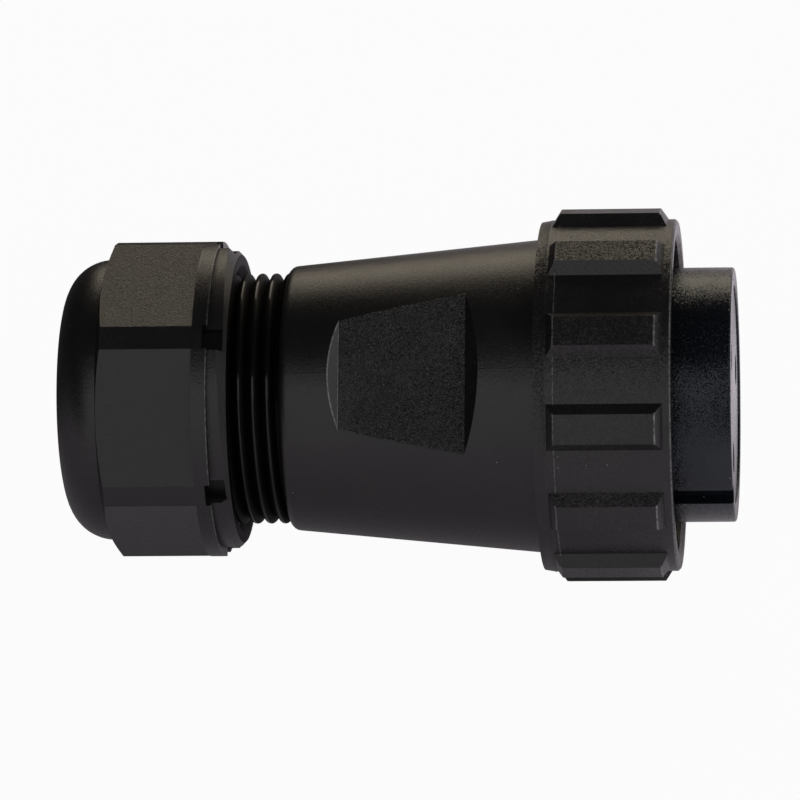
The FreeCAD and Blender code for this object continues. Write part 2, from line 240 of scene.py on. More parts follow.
insertLook = {
    "colour": (0.0045, 0.0060, 0.0090, 1),
    "bloom": (0.0075, 0.0093, 0.0130, 1),
    "dust": (0.35, 0.36, 0.38, 1),
    "dullAndShade": (0.006, 0.008, 0.011, 1),
    "highlightAndDust": (0.06, 0.067, 0.078, 1),
    "roughness": 0.23,
    "specular": 0.44,
    "tint": (0.84, 0.93, 1.0, 1),
    "grain": 3900.0,
    "glint": 9500.0,
}
cageLook = {
    "colour": (0.040, 0.040, 0.041, 1),
    "bloom": (0.058, 0.057, 0.056, 1),
    "dust": (0.3, 0.29, 0.27, 1),
    "roughness": 0.5,
    "specular": 0.5,
    "tint": (1, 1, 1, 1),
    "grain": 4200.0,
    "glint": 9000.0,
}


def sealRubber():
    f = Finish("sealRubber")
    cloud = f.noise(160.0, 4.0, 0.6)
    grain = f.noise(3800.0, 2.0, 0.6)
    bloom = f.mix(f.between(cloud, 0.4, 0.75), (0.012, 0.012, 0.012, 1), (0.03, 0.03, 0.029, 1))
    rough = 0.62 + (cloud - 0.5) * 0.2 + (grain - 0.5) * 0.1
    return f.done(**{"Base Color": bloom, "Roughness": rough, "Normal": f.bumped(grain, 1.0, 0.02 * mm)})


def turnedBrass():
    f = Finish("turnedBrass")
    stretch = f.node("ShaderNodeMapping", {}, {"Vector": f.place, "Scale": (9000.0, 260.0, 260.0)})
    marks = f.noise(1.0, 2.0, 0.5, stretch)
    tarnish = f.noise(420.0, 4.0, 0.65)
    colour = f.mix(f.between(tarnish, 0.38, 0.7), (0.80, 0.62, 0.27, 1), (0.55, 0.40, 0.17, 1))
    rough = 0.22 + tarnish * 0.16 + marks * 0.08
    return f.done(**{
        "Base Color": colour, "Roughness": rough, "Metallic": 1.0, "Normal": f.bumped(marks, 0.5, 0.01 * mm),
    })


def platedSteel():
    f = Finish("platedSteel")
    stretch = f.node("ShaderNodeMapping", {}, {"Vector": f.place, "Scale": (5000.0, 500.0, 500.0)})
    brush = f.noise(1.0, 3.0, 0.6, stretch)
    cloud = f.noise(300.0, 3.0, 0.6)
    colour = f.mix(f.between(cloud, 0.35, 0.7), (0.60, 0.60, 0.61, 1), (0.44, 0.44, 0.46, 1))
    rough = 0.26 + brush * 0.14 + cloud * 0.08
    return f.done(**{
        "Base Color": colour, "Roughness": rough, "Metallic": 1.0, "Normal": f.bumped(brush, 0.4, 0.008 * mm),
    })


# every station of an outline is (x, r) in mm or a function of the angle that gives one
def spun(name, outline, angles):
    mesh = bpy.data.meshes.new(name)
    bm = bmesh.new()
    columns = []
    for angle in angles + [angles[0] + 360.0]:
        a = math.radians(angle)
        column = []
        for station in outline:
            x, r = station(angle) if callable(station) else station
            column.append(bm.verts.new((x * mm, -r * math.cos(a) * mm, r * math.sin(a) * mm)))
        columns.append(column)
    count = len(outline)
    for left, right in zip(columns, columns[1:]):
        for i in range(count):
            j = (i + 1) % count
            bm.faces.new((left[i], left[j], right[j], right[i]))
    bmesh.ops.remove_doubles(bm, verts=bm.verts, dist=0.0015 * mm)
    bmesh.ops.dissolve_degenerate(bm, edges=bm.edges, dist=0.0015 * mm)
    bmesh.ops.recalc_face_normals(bm, faces=bm.faces)
    bm.to_mesh(mesh)
    bm.free()
    piece = bpy.data.objects.new(name, mesh)
    bpy.context.collection.objects.link(piece)
    return piece


def softEdges(piece, width, limit, weighted=False):
    bevel = piece.modifiers.new("edges", "BEVEL")
    bevel.width = width * mm
    bevel.segments = 2
    bevel.limit_method = "WEIGHT" if weighted else "ANGLE"
    bevel.angle_limit = math.radians(limit)
    bevel.use_clamp_overlap = True
    bevel.harden_normals = True
    for face in piece.data.polygons:
        face.use_smooth = True
    return piece


def cutAway(piece, tool):
    cut = piece.modifiers.new("cut", "BOOLEAN")
    cut.operation = "DIFFERENCE"
    cut.solver = "EXACT"
    cut.object = tool
    bpy.context.view_layer.update()
    ready = piece.evaluated_get(bpy.context.evaluated_depsgraph_get())
    baked = bpy.data.meshes.new_from_object(ready)
    piece.modifiers.remove(cut)
    piece.data = baked
    bpy.data.objects.remove(tool)


def evenAngles(count, start=0.0):
    return [start + 360.0 * i / count for i in range(count)]


def arc(cx, cr, radius, first, last, steps):
    points = []
    for i in range(steps + 1):
        a = math.radians(first + (last - first) * i / steps)
        points.append((cx + radius * math.cos(a), cr + radius * math.sin(a)))
    return points


# helical stations between x0 and x1; profile is (share of a pitch, share of the height)
def helix(x0, x1, pitch, profile, r, height, fade, phase=0.0):
    stations = []
    turns = int(math.ceil((x1 - x0) / pitch)) + 2

    def station(base, share):
        def at(angle):
            x = min(max(base - pitch * angle / 360.0, x0), x1)
            run = min(1.0, (x - x0) / fade[0], (x1 - x) / fade[1])
            return x, r + height * share * max(run, 0.0)
        return at

    for turn in range(turns):
        for place, share in profile:
            stations.append(station(x0 + (turn + place + phase) * pitch, share))
    return stations


def boxOf(node):
    low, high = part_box(node)
    return low / mm, high / mm


nutLow, nutHigh = boxOf("gland_nut")
bodyLow, bodyHigh = boxOf("body_shell")
ringLow, ringHigh = boxOf("coupling_ring")
carrierLow, carrierHigh = boxOf("contact_carrier")
gasketHigh = boxOf("mating_seal")[1]
coverLow = boxOf("contact_cover")[0]

glandThread = {
    "pitch": 1.5875,
    "crest": 14.1,
    "depth": 0.96,
    # sharp root, rounded crest
    "form": [
        (0.0, 0.0), (0.26, 0.765), (0.303, 0.862), (0.361, 0.937), (0.428, 0.984), (0.5, 1.0), (0.572, 0.984),
        (0.639, 0.937), (0.697, 0.862), (0.74, 0.765),
    ],
    "flankShadeFade": (0.032, 0.004),  # depths below the crest between which the painted shade on the flanks fades out
    "fade": (0.9, 0.12),
}

shell = {
    "length": 28.4, "spigot": 13.0, "shoulder": 14.9, "round": 1.0, "front": 17.56,
    "neck": 16.89, "neckBore": 15.69, "groove": 16.09, "grooveWidth": 1.1, "grooveAt": 2.4,
    "mouth": 12.5, "mouthDepth": 7.7, "throat": 11.0, "throatPast": 3.9, "cavity": 12.6, "bore": 13.4,
    "seatAt": 4.6, "boreAt": -5.45, "mouthEdge": 0.2,
    "flat": 14.25, "flatStart": 6.7, "flatLength": 14.0, "flatSlope": 59.0, "flatAngle": 43.3,
    "flatReach": 9.0, "flatHalfWidth": 20.0, "seamHalf": 0.25, "seamHeight": 0.014,
    "columns": 192, "coneSteps": 24, "edge": 0.12, "edgeLimit": 22.0, "sharpRoot": 60.0,
}
flatX = bodyLow.x + shell["spigot"] + shell["flatStart"]


def makeBody():
    t, s = glandThread, shell
    spigotX = bodyLow.x
    shoulderX = spigotX + s["spigot"]
    neckX = shoulderX + s["length"]
    endX = bodyHigh.x
    root = t["crest"] - t["depth"]
    seatX = neckX + s["seatAt"]
    grooveX = neckX + s["grooveAt"]
    boreX = neckX + s["boreAt"]
    coneStart = (shoulderX + s["round"], s["shoulder"])

    def onSeam(x, r):  # the mould seam, a fine ridge through the middle of both flats
        def at(angle):
            away = abs((angle - s["flatAngle"] + 90.0) % 180.0 - 90.0)
            return x, r + s["seamHeight"] * max(0.0, 1.0 - away / s["seamHalf"])
        return at

    outline = [(spigotX, s["mouth"] + s["mouthEdge"]), (spigotX, root)]
    outline += helix(spigotX, shoulderX, t["pitch"], t["form"], root, t["depth"], t["fade"])
    outline += [(shoulderX, root), (shoulderX, s["shoulder"] - s["round"])]
    outline += arc(coneStart[0], coneStart[1] - s["round"], s["round"], 180.0, 90.0, 5)[1:-1]
    for i in range(s["coneSteps"] + 1):
        share = i / s["coneSteps"]
        x = coneStart[0] + (neckX - coneStart[0]) * share
        outline.append(onSeam(x, coneStart[1] + (s["front"] - coneStart[1]) * share))
    outline += [
        (neckX, s["neck"]), (grooveX, s["neck"]), (grooveX, s["groove"]),
        (grooveX + s["grooveWidth"], s["groove"]), (grooveX + s["grooveWidth"], s["neck"]),
        (endX, s["neck"]), (endX, s["neckBore"]), (seatX, s["neckBore"]), (seatX, s["bore"]),
        (boreX, s["bore"]), (boreX, s["cavity"]), (shoulderX + s["throatPast"], s["cavity"]),
        (shoulderX + s["throatPast"], s["throat"]), (spigotX + s["mouthDepth"], s["throat"]),
        (spigotX + s["mouthDepth"], s["mouth"]), (spigotX + s["mouthEdge"], s["mouth"]),
    ]
    angles = evenAngles(s["columns"], s["flatAngle"])
    half = s["seamHalf"]
    for middle in (0.0, 180.0):
        angles += [s["flatAngle"] + middle + d for d in (-1.5 * half, -half, half, 1.5 * half)]
    body = spun("bodyMoulding", outline, sorted(angles))
    # the two finger flats, cut with a prism that has a sloping wall at each end
    reach = s["flatReach"]
    front = reach / math.tan(math.radians(s["flatSlope"]))
    side = [
        (flatX - reach, s["flat"] + reach), (flatX, s["flat"]), (flatX + s["flatLength"], s["flat"]),
        (flatX + s["flatLength"] + front, s["flat"] + reach),
    ]
    for i in range(2):
        bm = bmesh.new()
        ends = []
        for z in (-s["flatHalfWidth"], s["flatHalfWidth"]):
            ends.append([bm.verts.new((x * mm, -r * mm, z * mm)) for x, r in side])
        bm.faces.new(ends[0])
        bm.faces.new(ends[1][::-1])
        for j in range(4):
            k = (j + 1) % 4
            bm.faces.new((ends[0][j], ends[1][j], ends[1][k], ends[0][k]))
        bmesh.ops.recalc_face_normals(bm, faces=bm.faces)
        turn = Matrix.Rotation(-math.radians(s["flatAngle"] + 180.0 * i), 4, "X")
        bmesh.ops.transform(bm, matrix=turn, verts=bm.verts)
        mesh = bpy.data.meshes.new("flatTool")
        bm.to_mesh(mesh)
        bm.free()
        tool = bpy.data.objects.new("flatTool", mesh)
        bpy.context.collection.objects.link(tool)
        cutAway(body, tool)

    def onThread(vert):  # a little inside both ends, so that their rims count as edges
        along, out = vert.co.x / mm, math.hypot(vert.co.y, vert.co.z) / mm
        return spigotX + 0.01 < along < shoulderX - 0.01 and out > root - 0.1

    # the thread keeps its sharp roots; every other edge is eased
    bm = bmesh.new()
    bm.from_mesh(body.data)
    weight = bm.edges.layers.float.new("bevel_weight_edge")
    for edge in bm.edges:
        turn = math.degrees(edge.calc_face_angle(0.0))
        if all(onThread(vert) for vert in edge.verts):
            edge.smooth = turn < s["sharpRoot"]
        elif turn > s["edgeLimit"]:
            edge[weight] = 1.0
    bm.to_mesh(body.data)
    bm.free()
    return softEdges(body, s["edge"], s["edgeLimit"], True)


nut = {
    "apothem": 16.0, "collar": 17.74, "dome": 15.8, "hole": 9.3, "holeRound": 0.7,
    "lead": 0.7, "hex": 10.2, "collarLength": 2.3, "chamfer": 1.5, "rim": 16.17,
    "bore": 14.3, "mouthLead": 0.8, "boreDepth": 10.975, "coneStart": 13.45, "coneLength": 5.712,
    "angle": 25.8, "rampLength": 2.1, "rampLag": 4.3, "rampShallow": 0.45, "rampDeep": 1.2,
    "catchAngle": 9.0, "catchDepth": 1.9, "catchOverrun": 0.6, "catchLip": 0.55,
    "threadFrom": 3.4, "threadHeight": 0.72, "threadFade": (0.8, 0.5), "ridgeAt": 0.70,
    "threadForm": [(0.0, 0.0), (0.30, 0.0), (0.63, 0.92), (0.67, 1.0), (0.73, 1.0), (0.77, 0.92)],
    "wallGap": 0.05, "edge": 0.12, "edgeLimit": 18.0,
}


def makeNut():
    n, t = nut, glandThread
    domeX, nutX = nutLow.x, nutHigh.x
    collarX = nutX - n["chamfer"] - n["collarLength"]
    leadX = collarX - n["hex"] - n["lead"]
    domeEdge = leadX - domeX
    edge = math.degrees(math.acos(n["apothem"] / n["collar"]))
    cornerFlat = n["collar"] * math.cos(math.radians(30.0 - edge))
    slope = (n["collar"] - n["dome"]) / n["lead"]
    chamferX = nutX - n["chamfer"]
    fall = (n["collar"] - n["rim"]) / n["chamfer"]
    rampX = nutX - n["rampLength"]
    catchX, lipX = rampX - n["catchOverrun"], nutX - n["catchLip"]
    shift = (n["rampDeep"] - n["rampShallow"]) / 2 / math.sin(math.radians(30.0))
    floorR = n["collar"] - (n["rampDeep"] + n["rampShallow"]) / 2

    def within(angle, middle):  # each side of the hexagon takes 60 degrees
        return (angle - middle + 30.0) % 60.0 - 30.0

    def hexR(angle):
        d = abs(within(angle, n["angle"]))
        if d <= edge + 1e-6:
            return n["apothem"] / math.cos(math.radians(d))
        return cornerFlat / math.cos(math.radians(30.0 - d))

    def rampR(angle):
        a = math.radians(within(angle, n["angle"] - n["rampLag"]))
        return shift * math.sin(a) + math.sqrt(floorR ** 2 - (shift * math.cos(a)) ** 2)

    def inCatch(angle):
        return within(angle, n["angle"] - n["rampLag"]) < n["catchAngle"] - 30.0

    def leadAt(share):
        def at(angle):
            run = share * (hexR(angle) - n["dome"]) / slope
            return leadX + run, n["dome"] + run * slope
        return at

    def hexAt(share):
        def at(angle):
            start = leadX + (hexR(angle) - n["dome"]) / slope
            return start + (collarX - start) * share, hexR(angle)
        return at

    def rimAt(x, angle):
        return min(rampR(angle), n["collar"] - fall * (x - chamferX))

    def creaseX(angle):
        return chamferX + (n["collar"] - rampR(angle)) / fall

    catchR = n["collar"] - n["catchDepth"]

    def collarAt(x):
        return lambda angle: (x, catchR if inCatch(angle) else n["collar"])

    def rampStart(angle):
        return rampX, catchR if inCatch(angle) else rampR(angle)

    def firstCrease(angle):
        x = min(creaseX(angle), lipX)
        return x, catchR if inCatch(angle) else rimAt(x, angle)

    def lipFoot(angle):
        return lipX, catchR if inCatch(angle) else rimAt(lipX, angle)

    def lastCrease(angle):
        x = max(creaseX(angle), lipX)
        return x, rimAt(x, angle)

    outline = arc(domeX + n["holeRound"], n["hole"] + n["holeRound"], n["holeRound"], 270.0, 180.0, 4)
    outline += arc(domeX + domeEdge, n["dome"] - domeEdge, domeEdge, 180.0, 90.0, 16)
    outline += [leadAt(share) for share in (0.5, 1.0)]
    outline += [hexAt(share) for share in (0.25, 0.5, 0.75, 1.0)]
    outline += [
        (collarX, n["collar"]), (catchX, n["collar"]), collarAt(catchX), collarAt(rampX), rampStart,
        firstCrease, lipFoot, lambda angle: (lipX, rimAt(lipX, angle)), lastCrease, (nutX, n["rim"]),
    ]
    outline += [(nutX, n["bore"] + n["mouthLead"]), (nutX - n["mouthLead"], n["bore"])]
    # inner thread: its ridge runs in the groove of the spigot's thread
    bottomX = nutX - n["boreDepth"]
    threadX = bottomX + n["threadFrom"]
    turnsIn = (threadX - bodyLow.x) / t["pitch"]
    phase = (-n["ridgeAt"] - turnsIn) % 1.0 - 1.0
    thread = helix(
        threadX, nutX - n["mouthLead"] + 0.01, t["pitch"], n["threadForm"], n["bore"], -n["threadHeight"],
        n["threadFade"], phase,
    )
    outline += thread[::-1]
    outline += [(threadX, n["bore"]), (bottomX, n["bore"]), (bottomX, n["coneStart"])]
    outline += [(bottomX - n["coneLength"], n["hole"])]
    marks = [-30.0, -edge, -20.0, -15.0, -10.0, -5.0, 0.0, 5.0, 10.0, 15.0, 20.0, edge]
    for d in (-30.0, n["catchAngle"] - 30.0):  # a close pair of columns at each wall that stands along the axis
        marks += [d - n["rampLag"] - n["wallGap"], d - n["rampLag"] + n["wallGap"]]
    marks = sorted((d + 30.0) % 60.0 - 30.0 for d in marks)
    angles = [n["angle"] + 60.0 * side + d for side in range(6) for d in marks]
    return softEdges(spun("glandNutMoulding", outline, angles), n["edge"], n["edgeLimit"])


ring = {
    "base": 19.69, "bore": 17.79, "flange": 2.2, "flangeBore": 17.04, "draft": 0.2,
    "frontEdge": 0.25, "lead": 0.4, "ribHeight": 1.2, "topLength": 11.1, "topWidth": 3.35, "run": 0.8,
    "footSpread": 1.135, "offset": 0.25, "ribAngle": 23.0, "ribs": 12, "grooveColumns": (9.9, 12.4),
    "partingAt": 1.2, "partingHalf": 0.12, "partingDip": 0.01, "partingHeight": 0.03,
    "threadPitch": 3.0, "threadHeight": 0.42, "threadFade": (0.8, 0.8), "threadBehind": 0.8, "threadShort": 0.3,
    "threadForm": [(0.0, 0.0), (0.34, 0.0), (0.48, 0.85), (0.54, 1.0), (0.66, 1.0), (0.72, 0.85), (0.86, 0.0)],
    "edge": 0.16, "edgeLimit": 24.0,
}


def makeRing():
    g = ring
    rearX, frontX = ringLow.x, ringHigh.x
    top = g["base"] + g["ribHeight"]
    middle = (rearX + frontX) / 2 + g["offset"]
    topHalf = math.degrees(math.atan(g["topWidth"] / 2 / top))
    half = g["topWidth"] / 2 + g["run"] * g["footSpread"]
    footHalf = math.degrees(math.asin(half / g["base"]))
    topEnds = (middle - g["topLength"] / 2, middle + g["topLength"] / 2)
    span = 360.0 / g["ribs"]

    def ribAt(x):
        def at(angle):
            d = (angle - g["ribAngle"] + span / 2) % span - span / 2
            if abs(d) <= topHalf + 1e-6:
                return x, top / math.cos(math.radians(d))
            return x, g["base"]
        return at

    partingX = rearX + g["partingAt"]
    outline = [
        (rearX, g["flangeBore"]), (rearX, g["base"] - g["draft"]),
        (partingX - g["partingHalf"], g["base"] - g["partingDip"]), (partingX, g["base"] + g["partingHeight"]),
        (partingX + g["partingHalf"], g["base"]),
        (topEnds[0] - g["run"], g["base"]), ribAt(topEnds[0]),
    ]
    outline += [ribAt(topEnds[0] + (topEnds[1] - topEnds[0]) * i / 4) for i in range(1, 5)]
    outline += [
        (topEnds[1] + g["run"], g["base"]), (frontX - g["frontEdge"], g["base"]), (frontX, g["base"] - g["frontEdge"]),
        (frontX, g["bore"] + g["lead"]), (frontX - g["lead"], g["bore"]),
    ]
    threadX, threadEnd = gasketHigh.x - g["threadBehind"], frontX - g["lead"] - g["threadShort"]
    thread = helix(
        threadX, threadEnd, g["threadPitch"], g["threadForm"], g["bore"], -g["threadHeight"], g["threadFade"],
    )
    outline += [(threadEnd, g["bore"])] + thread[::-1]
    flangeX = rearX + g["flange"]
    outline += [(threadX, g["bore"]), (flangeX, g["bore"]), (flangeX, g["flangeBore"])]
    steps = [topHalf / 2, topHalf, footHalf, *g["grooveColumns"]]
    steps = [-span / 2] + [-d for d in steps[::-1]] + [0.0] + steps
    angles = [g["ribAngle"] + span * rib + d for rib in range(g["ribs"]) for d in steps]
    piece = spun("couplingRingMoulding", outline, angles)
    # the corner quads of each rib fold along the line from its top corner to its foot
    bm = bmesh.new()
    bm.from_mesh(piece.data)
    high = (g["base"] + g["ribHeight"] * 0.5) * mm
    for face in list(bm.faces):
        tops = [v for v in face.verts if math.hypot(v.co.y, v.co.z) > high]
        if len(face.verts) == 4 and len(tops) == 1:
            order = list(face.verts)
            bmesh.utils.face_split(face, tops[0], order[(order.index(tops[0]) + 2) % 4])
    bm.to_mesh(piece.data)
    bm.free()
    return softEdges(piece, g["edge"], g["edgeLimit"])


insert = {
    "r": 14.24, "seat": 14.04, "rim": 1.9, "edge": 0.3, "barrel": 13.3, "flange": 15.59, "flangeLength": 2.0,
    "barrelLength": 4.0, "keyAngle": -19.8, "keyWidth": 2.4, "keyDepth": 1.2,
    "holeR": 2.49, "circle": 7.2, "firstHole": 70.0, "drillLength": 40.0, "drillX": -12.0,
    "recessEdge": 0.15, "keyGap": 0.15, "columns": 128, "softEdge": 0.08, "edgeLimit": 28.0,
}


def makeInsert():
    c = insert
    barrelX, rimX = carrierLow.x, carrierHigh.x
    seatX = barrelX + c["barrelLength"]
    lockX = seatX + c["flangeLength"]
    keyHalf = math.degrees(math.asin(c["keyWidth"] / 2 / c["r"]))
    floor = c["r"] - c["keyDepth"]

    def keyed(x, r):
        def at(angle):
            d = (angle - c["keyAngle"] + 180.0) % 360.0 - 180.0
            if abs(d) < keyHalf:
                return x, min(r, floor / math.cos(math.radians(d)))
            return x, r
        return at

    outline = [
        (barrelX, 0.0), (barrelX, c["barrel"]), (seatX, c["barrel"]), (seatX, c["flange"]), (lockX, c["flange"]),
        (lockX, c["seat"]), (gasketHigh.x, c["seat"]), keyed(gasketHigh.x, c["r"]),
    ]
    outline += [keyed(gasketHigh.x + (rimX - c["edge"] - gasketHigh.x) * i / 4, c["r"]) for i in range(1, 4)]
    outline += [keyed(x, r) for x, r in arc(rimX - c["edge"], c["r"] - c["edge"], c["edge"], 90.0, 0.0, 4)]
    recess = c["r"] - c["rim"]
    outline += [
        (rimX, recess + c["recessEdge"]), (rimX - c["recessEdge"], recess), (coverLow.x, recess), (coverLow.x, 0.0),
    ]
    gap = c["keyGap"]  # a close pair of columns at each wall of the keyway
    keySteps = (-keyHalf - gap, -keyHalf + gap, -keyHalf / 3, keyHalf / 3, keyHalf - gap, keyHalf + gap)
    angles = [c["keyAngle"] + d for d in keySteps]
    rest = 360.0 - 2 * (keyHalf + gap)
    for i in range(1, c["columns"]):
        angles.append(c["keyAngle"] + keyHalf + gap + rest * i / c["columns"])
    piece = spun("insertMoulding", outline, angles)
    for i in range(3):
        bpy.ops.mesh.primitive_cylinder_add(
            vertices=48, radius=c["holeR"] * mm, depth=c["drillLength"] * mm, rotation=(0, math.pi / 2, 0),
        )
        drill = bpy.context.object
        a = math.radians(c["firstHole"] + 120.0 * i)
        drill.location = Vector((c["drillX"], -c["circle"] * math.cos(a), c["circle"] * math.sin(a))) * mm
        cutAway(piece, drill)
    return softEdges(piece, c["softEdge"], c["edgeLimit"])


# where the body shows other textures, painted light and painted highlights, in mm off the surface or edge meant
bodyMarksAndLight = {
    "patchEnds": 0.1, "patchDepth": 0.06, "wallDepth": 0.1, "edge": 0.07, "patches": 2600.0,
}


def flatHeight(f):
    # height over the axis along the normal of the finger flats
    a = math.radians(shell["flatAngle"])
    normal = (0.0, -math.cos(a), math.sin(a))
    out = f.node("ShaderNodeVectorMath", {"operation": "DOT_PRODUCT"}, {0: f.place, 1: normal}, "Value")
    return f.node("ShaderNodeMath", {"operation": "ABSOLUTE"}, {0: out})


def fingerPatch(f):
    s, w = shell, bodyMarksAndLight
    ends = f.inside(f.along("X"), (flatX - w["patchEnds"]) * mm, (flatX + s["flatLength"] + w["patchEnds"]) * mm)
    return ends * f.inside(flatHeight(f), (s["flat"] - w["patchDepth"]) * mm, (s["flat"] + w["patchDepth"]) * mm)


def rearWall(f):
    # the 45 degree wall at the cable end of each flat, which is given painted light
    w = bodyMarksAndLight
    off = flatHeight(f) - shell["flat"] * mm + f.along("X") - flatX * mm
    return f.inside(off, -w["wallDepth"] * mm, w["wallDepth"] * mm) * (f.along("X") < flatX * mm)


def wallEdgeHighlights(f):
    # painted highlights at the foot of that wall, and at its lip where it meets the cone
    s, w = shell, bodyMarksAndLight
    coneX = bodyLow.x + s["spigot"] + s["round"]
    rise = (s["front"] - s["shoulder"]) / (s["length"] - s["round"])
    under = f.radius() - (f.along("X") - coneX * mm) * rise - s["shoulder"] * mm
    foot = f.along("X") > (flatX - w["edge"]) * mm
    lip = under > -w["edge"] * mm
    patchy = f.between(f.noise(w["patches"], 1.0), 0.35, 0.6, 0.35, 1.0)
    return rearWall(f) * (1 - (1 - foot) * (1 - lip)) * patchy


# pits, and pale specks that are partly dust and partly painted glints, on the insert: grain scale, range of the noise,
# strength; heights in metres
insertSpecks = {
    "darker": (6200.0, 0.53, 0.6, 0.95), "dust": (5600.0, 0.6, 0.7, 0.9),
    "upperSide": (0.0015, 0.006), "nearTop": (0.0126, 0.0136, 1.0, 0.2),
}


def insertGrains(f, kind):
    # specks on the upper side, fewer at the very top; the pale ones are partly dust, partly painted glints
    scale, low, high, strength = insertSpecks[kind]
    z = f.along("Z")
    upper = f.between(z, *insertSpecks["upperSide"]) * f.between(z, *insertSpecks["nearTop"])
    return f.between(f.noise(scale, 1.0), low, high) * upper * strength


def insertPits(f):
    return insertGrains(f, "darker")


def insertDustAndGlints(f):
    return insertGrains(f, "dust")


ringHighlightPlaces = {
    "lineHalf": 0.06, "lineWander": 0.12, "lineTop": 0.15, "ribEdge": 0.1, "rimWidth": 0.17, "rimDrop": 0.2,
    "wanders": 900.0, "patches": 2500.0,
    "line": 0.4, "front": 0.9, "rear": 0.45, "rim": 0.7,  # how pale each painted highlight is
}


def ringHighlights(f):
    # painted highlights: a fine line round the ring at the rear of its ribs, and the edges of the ribs and of the
    # front rim
    g, w = ring, ringHighlightPlaces
    x, r = f.along("X"), f.radius()
    middle = (ringLow.x + ringHigh.x) / 2 + g["offset"]
    rearX, frontX = middle - g["topLength"] / 2, middle + g["topLength"] / 2
    off = x - rearX * mm + (f.noise(w["wanders"], 2.0) - 0.5) * w["lineWander"] * mm
    line = f.inside(off, -w["lineHalf"] * mm, w["lineHalf"] * mm) * (r < (g["base"] + w["lineTop"]) * mm)
    top = r > (g["base"] + g["ribHeight"] - w["ribEdge"]) * mm
    front = top * (x > (frontX - w["ribEdge"]) * mm)
    rear = top * (x < (rearX + w["ribEdge"]) * mm)
    rim = (x > (ringHigh.x - w["rimWidth"]) * mm) * (r > (g["base"] - w["rimDrop"]) * mm)
    patchy = f.between(f.noise(w["patches"], 1.0), 0.35, 0.6, 0.25, 1.0)
    return (line * w["line"] + front * w["front"] + rear * w["rear"] + rim * w["rim"]) * patchy


def threadZone(f):
    return f.along("X") < (bodyLow.x + shell["spigot"]) * mm


# painted shade on the thread's flanks, fading out towards the crests
def threadFlankShade(f):
    low, high = ((glandThread["crest"] - depth) * mm for depth in glandThread["flankShadeFade"])
    return threadZone(f) * f.between(f.radius(), low, high, 1.0, 0.35)


nutShadeAndHighlight = {
    "face": 0.06, "catchEnds": (0.05, 0.03), "catchDepths": (-0.1, 0.75), "catchShade": 0.55,
    "edge": (-0.12, 0.04), "edgeDrop": 0.25, "patches": 1500.0,
}


def nutPaintedShade(f):
    # painted shade on the front face, the lead-in of the thread and the bottoms of the catches
    n, w = nut, nutShadeAndHighlight
    x, r = f.along("X"), f.radius()
    face = x > (nutHigh.x - w["face"]) * mm
    lead = (x > (nutHigh.x - n["mouthLead"]) * mm) * (r < (n["bore"] + n["mouthLead"]) * mm)
    catchR = n["collar"] - n["catchDepth"]
    startX = nutHigh.x - n["rampLength"] - n["catchOverrun"] - w["catchEnds"][0]
    endX = nutHigh.x - n["catchLip"] + w["catchEnds"][1]
    low, high = w["catchDepths"]
    catch = f.inside(x, startX * mm, endX * mm) * f.inside(r, (catchR + low) * mm, (catchR + high) * mm)
    return 1 - (1 - face) * (1 - lead) * (1 - catch * w["catchShade"])


def nutEdgeHighlight(f):
    # painted highlight along the collar's edge over the ramps, in patches
    n, w = nut, nutShadeAndHighlight
    off = f.along("X") - (nutHigh.x - n["rampLength"]) * mm
    low, high = w["edge"]
    edge = f.inside(off, low * mm, high * mm) * (f.radius() > (n["collar"] - w["edgeDrop"]) * mm)
    return edge * f.between(f.noise(w["patches"], 2.0), 0.35, 0.65, 0.15, 0.8)


shellPlastic = mouldedNylon("shellPlastic", mouldedLook, 0.05, 0.11, 0.15, dullAndShade=nutPaintedShade, highlightAndDust=nutEdgeHighlight)
bodyPlastic = mouldedNylon(
    "bodyPlastic", {**mouldedLook, "highlightAndDust": (0.28, 0.28, 0.29, 1)}, 0.04, 0.09, 0.0,
    fingerPatch, threadZone, threadFlankShade, rearWall, wallEdgeHighlights,
)
ringPlastic = mouldedNylon(
    "ringPlastic", {**mouldedLook, "glint": 5500.0, "highlightAndDust": (0.3, 0.3, 0.31, 1)}, 0.06, 0.26, 0.35, highlightAndDust=ringHighlights,
)
insertPlastic = mouldedNylon("insertPlastic", insertLook, 0.03, 0.38, dullAndShade=insertPits, highlightAndDust=insertDustAndGlints)
cagePlastic = mouldedNylon("cagePlastic", cageLook)
finishes = {
    "shell_plastic": shellPlastic, "insert_plastic": insertPlastic, "cage_plastic": cagePlastic,
    "seal_rubber": sealRubber(), "contact_brass": turnedBrass(), "spring_steel": platedSteel(),
}
print("finishes made:", len(finishes) + 2)

for part in frame["record"]["subparts"]:
    node = frame["nodes"][part["node"]]
    node.data.materials.clear()
    node.data.materials.append(finishes[part["material_slot"]])

for maker, body, node, slot, finish in (
    (makeBody, "body", "body_shell", "shell_plastic", bodyPlastic),
    (makeNut, "gland_nut", "gland_nut", "shell_plastic", shellPlastic),
    (makeRing, "coupling_ring", "coupling_ring", "shell_plastic", ringPlastic),
    (makeInsert, "body", "contact_carrier", "insert_plastic", insertPlastic),
):
    piece = maker()
    piece.data.materials.clear()
    piece.data.materials.append(finish)
    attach(piece, body)
    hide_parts(node)
    print("made", piece.name, len(piece.data.polygons), "faces")

easedNodes = {"names": ("contact_cover", "gland_cage", "gland_seal", "mating_seal"), "edge": 0.1, "edgeLimit": 30.0}
for name in easedNodes["names"]:
    softEdges(frame["nodes"][name], easedNodes["edge"], easedNodes["edgeLimit"])

